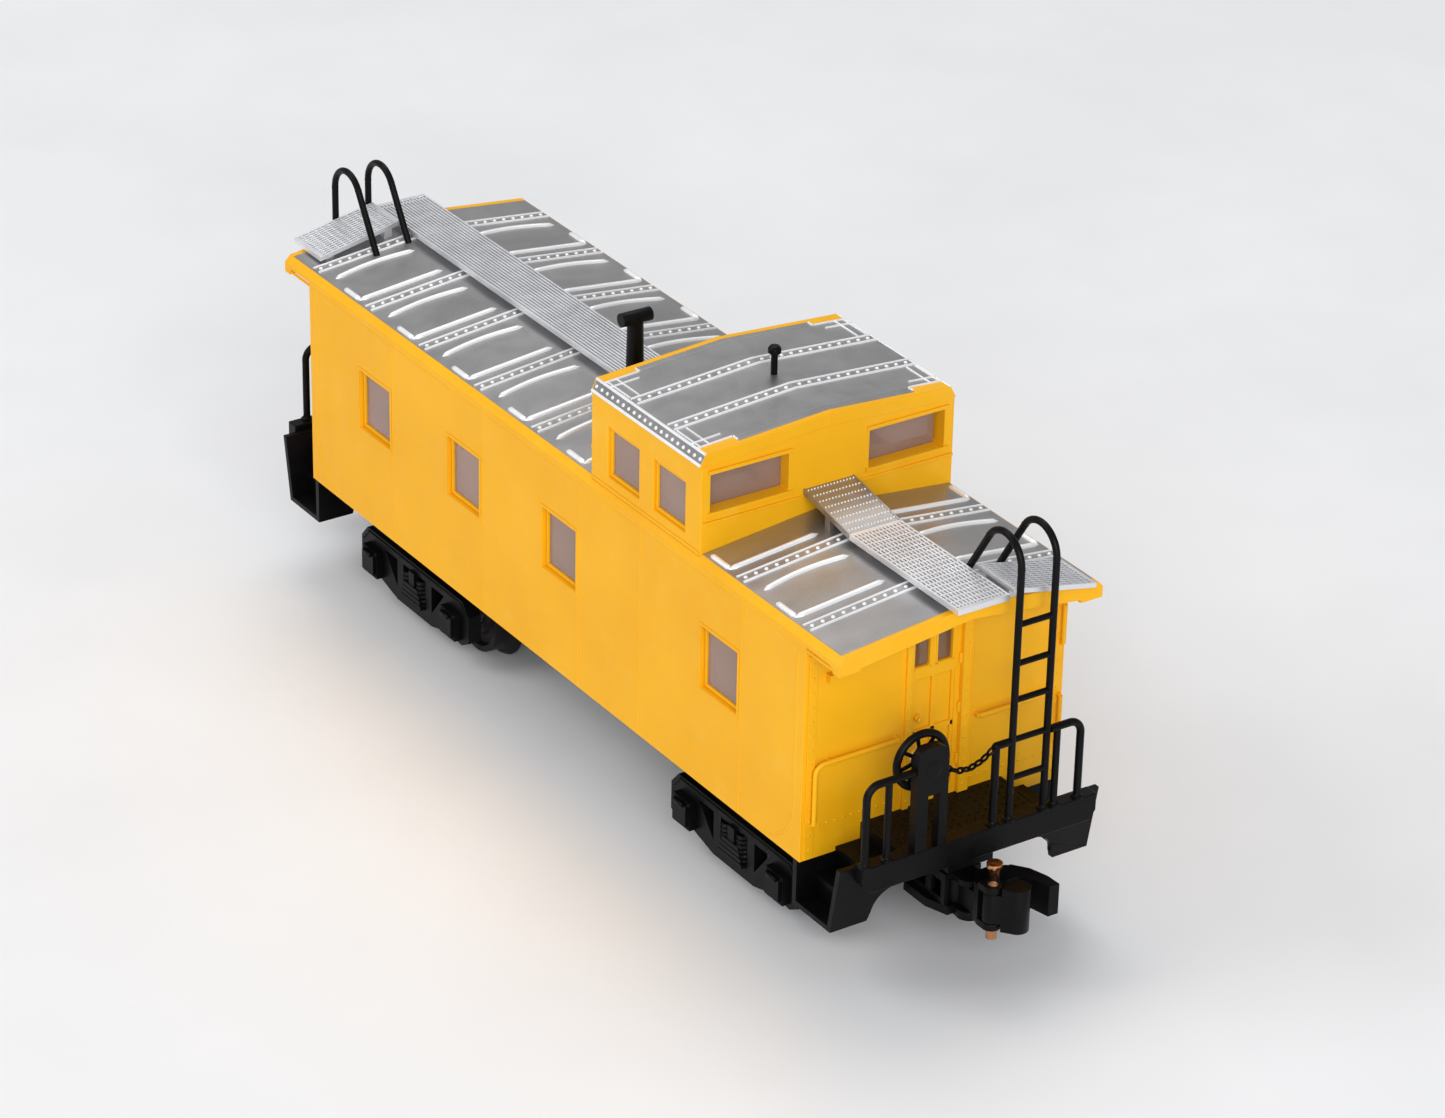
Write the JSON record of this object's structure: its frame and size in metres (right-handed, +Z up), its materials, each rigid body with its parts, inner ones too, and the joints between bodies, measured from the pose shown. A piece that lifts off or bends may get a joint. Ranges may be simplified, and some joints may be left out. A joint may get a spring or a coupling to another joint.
{
  "type": "model railway caboose",
  "caption": "Small-scale model railway caboose with cupola, end platforms, swivelling trucks, rolling wheels and sprung knuckle couplers.",
  "frame": {"origin": "bottom centre: midway between the couplers, on the level the wheel flanges stand on", "axes": "+X along the track towards the end with the short roof, +Y across the track, +Z up"},
  "size_m": [0.0788, 0.0194, 0.0329],
  "materials": {
    "body_yellow": "satin moulded plastic, warm yellow",
    "roof_silver": "silver-grey painted plastic, satin",
    "walkway_silver": "light silver fine grating",
    "frame_black": "black moulded acetal, semi-gloss",
    "wheel_black": "black moulded wheel",
    "clear_glazing": "clear styrene",
    "bright_steel": "bright steel",
    "ballast_steel": "plain pressed steel",
    "spring_wire": "bronze spring wire",
    "copper_pin": "bare copper-plated wire"
  },
  "bodies": {
    "car": {"body_shell": "body_yellow", "cupola_shell": "body_yellow", "roof_rear": "roof_silver", "roof_front": "roof_silver", "cupola_roof": "roof_silver", "running_board_rear": "walkway_silver", "running_board_front": "walkway_silver", "lateral_board_rear": "walkway_silver", "lateral_board_front": "walkway_silver", "smokejack": "frame_black", "cupola_vent": "frame_black", "side_glazing_left": "clear_glazing", "side_glazing_right": "clear_glazing", "cupola_glazing": "clear_glazing", "door_glazing": "clear_glazing", "ballast_weight": "ballast_steel", "underframe": "frame_black", "brake_cylinder": "frame_black", "air_reservoir": "frame_black", "end_platform_front": "frame_black", "steps_front": "frame_black", "end_railing_front": "frame_black", "gate_chain_front": "frame_black", "ladder_front": "frame_black", "brake_stand_front": "frame_black", "brake_wheel_pin_front": "bright_steel", "kingpin_front": "frame_black", "end_platform_rear": "frame_black", "steps_rear": "frame_black", "end_railing_rear": "frame_black", "gate_chain_rear": "frame_black", "ladder_rear": "frame_black", "brake_stand_rear": "frame_black", "brake_wheel_pin_rear": "bright_steel", "kingpin_rear": "frame_black"},
    "truck_front": {"truck_frame_front": "frame_black", "coupler_cover_front": "frame_black", "coupler_spring_front": "spring_wire"},
    "coupler_front": {"coupler_front": "frame_black", "trip_pin_front": "copper_pin", "knuckle_pin_front": "bright_steel"},
    "knuckle_front": {"knuckle_front": "frame_black"},
    "brake_wheel_front": {"brake_wheel_front": "frame_black"},
    "truck_rear": {"truck_frame_rear": "frame_black", "coupler_cover_rear": "frame_black", "coupler_spring_rear": "spring_wire"},
    "coupler_rear": {"coupler_rear": "frame_black", "trip_pin_rear": "copper_pin", "knuckle_pin_rear": "bright_steel"},
    "knuckle_rear": {"knuckle_rear": "frame_black"},
    "brake_wheel_rear": {"brake_wheel_rear": "frame_black"},
    "wheelset_1": {"axle_1": "bright_steel", "wheels_1": "wheel_black"},
    "wheelset_2": {"axle_2": "bright_steel", "wheels_2": "wheel_black"},
    "wheelset_3": {"axle_3": "bright_steel", "wheels_3": "wheel_black"},
    "wheelset_4": {"axle_4": "bright_steel", "wheels_4": "wheel_black"}
  },
  "joints": [
    {"name": "truck_front_swivel", "type": "hinge", "parent": "car", "child": "truck_front", "pos_m": [0.0198, 0, 0.0062], "axis": [0, 0, 1], "range_deg": [-10, 10]},
    {"name": "coupler_front_swing", "type": "hinge", "parent": "truck_front", "child": "coupler_front", "pos_m": [0.0331, 0, 0.005], "axis": [0, 0, 1], "range_deg": [-12, 12], "stiffness_Nm_per_rad": 0.0002},
    {"name": "knuckle_front_open", "type": "hinge", "parent": "coupler_front", "child": "knuckle_front", "pos_m": [0.0376, -0.00075, 0.0061], "axis": [0, 0, 1], "range_deg": [-25, 0], "stiffness_Nm_per_rad": 0.00005},
    {"name": "brake_wheel_front_spin", "type": "hinge", "parent": "car", "child": "brake_wheel_front", "pos_m": [0.034, -0.00385, 0.0154], "axis": [1, 0, 0], "continuous": true},
    {"name": "truck_rear_swivel", "type": "hinge", "parent": "car", "child": "truck_rear", "pos_m": [-0.0198, 0, 0.0062], "axis": [0, 0, 1], "range_deg": [-10, 10]},
    {"name": "coupler_rear_swing", "type": "hinge", "parent": "truck_rear", "child": "coupler_rear", "pos_m": [-0.0331, 0, 0.005], "axis": [0, 0, 1], "range_deg": [-12, 12], "stiffness_Nm_per_rad": 0.0002},
    {"name": "knuckle_rear_open", "type": "hinge", "parent": "coupler_rear", "child": "knuckle_rear", "pos_m": [-0.0376, 0.00075, 0.0061], "axis": [0, 0, 1], "range_deg": [-25, 0], "stiffness_Nm_per_rad": 0.00005},
    {"name": "brake_wheel_rear_spin", "type": "hinge", "parent": "car", "child": "brake_wheel_rear", "pos_m": [-0.034, 0.00385, 0.0154], "axis": [-1, 0, 0], "continuous": true},
    {"name": "wheelset_1_roll", "type": "hinge", "parent": "truck_front", "child": "wheelset_1", "pos_m": [0.02505, 0, 0.0032], "axis": [0, 1, 0], "continuous": true},
    {"name": "wheelset_2_roll", "type": "hinge", "parent": "truck_front", "child": "wheelset_2", "pos_m": [0.01455, 0, 0.0032], "axis": [0, 1, 0], "continuous": true},
    {"name": "wheelset_3_roll", "type": "hinge", "parent": "truck_rear", "child": "wheelset_3", "pos_m": [-0.01455, 0, 0.0032], "axis": [0, 1, 0], "continuous": true},
    {"name": "wheelset_4_roll", "type": "hinge", "parent": "truck_rear", "child": "wheelset_4", "pos_m": [-0.02505, 0, 0.0032], "axis": [0, 1, 0], "continuous": true}
  ]
}
